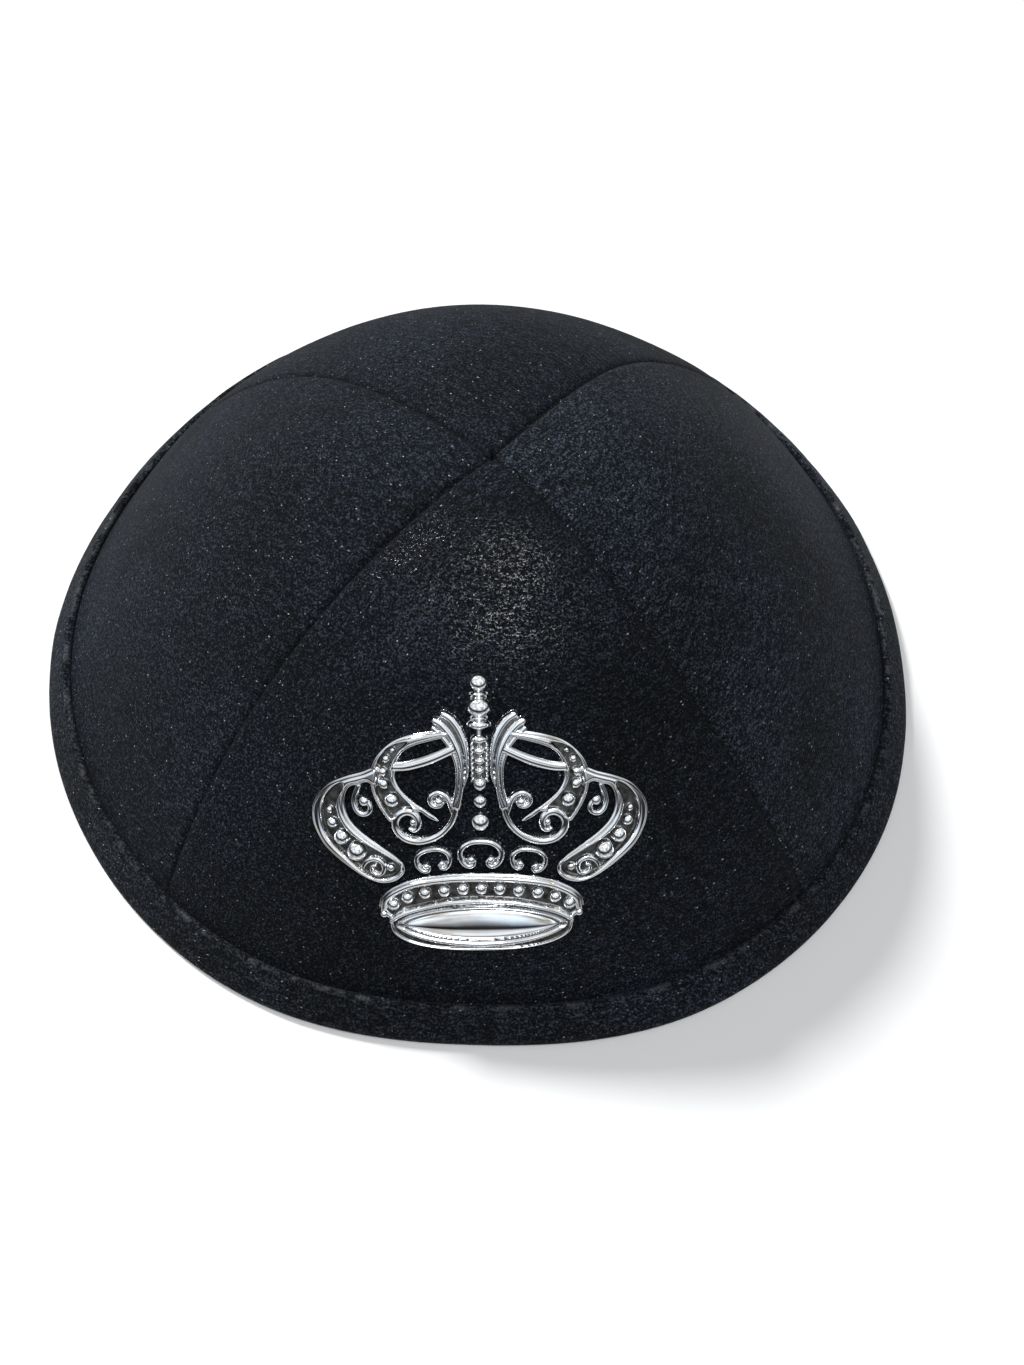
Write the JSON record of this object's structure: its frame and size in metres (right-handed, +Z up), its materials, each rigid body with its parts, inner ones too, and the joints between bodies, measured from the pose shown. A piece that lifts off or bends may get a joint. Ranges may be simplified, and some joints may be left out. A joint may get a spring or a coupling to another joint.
{
  "type": "kippah skullcap",
  "caption": "Round skullcap of sewn suede panels with a folded rim band and a beaded metal crown on its front.",
  "frame": {"origin": "under the middle of the cap, level with the surface that its rim rests on", "axes": "+Z up through the crown of the head, -Y towards the front that carries the ornament, +X to the right as seen from the front"},
  "size_m": [0.1684, 0.1686, 0.0697],
  "materials": {
    "suede": "black brushed suede with a fine nap",
    "band_suede": "black suede binding strip, worn a little greyer at its edge",
    "chrome": "bright mirror plating"
  },
  "bodies": {
    "root": {"panel_front": "suede", "panel_right": "suede", "panel_back": "suede", "panel_left": "suede", "rim_band": "band_suede", "crown_wing_left": "chrome", "crown_wing_right": "chrome", "crown_column": "chrome", "crown_bead_1": "chrome", "crown_bead_2": "chrome", "crown_scroll_left": "chrome", "crown_scroll_centre": "chrome", "crown_scroll_right": "chrome", "crown_base": "chrome"}
  },
  "joints": []
}
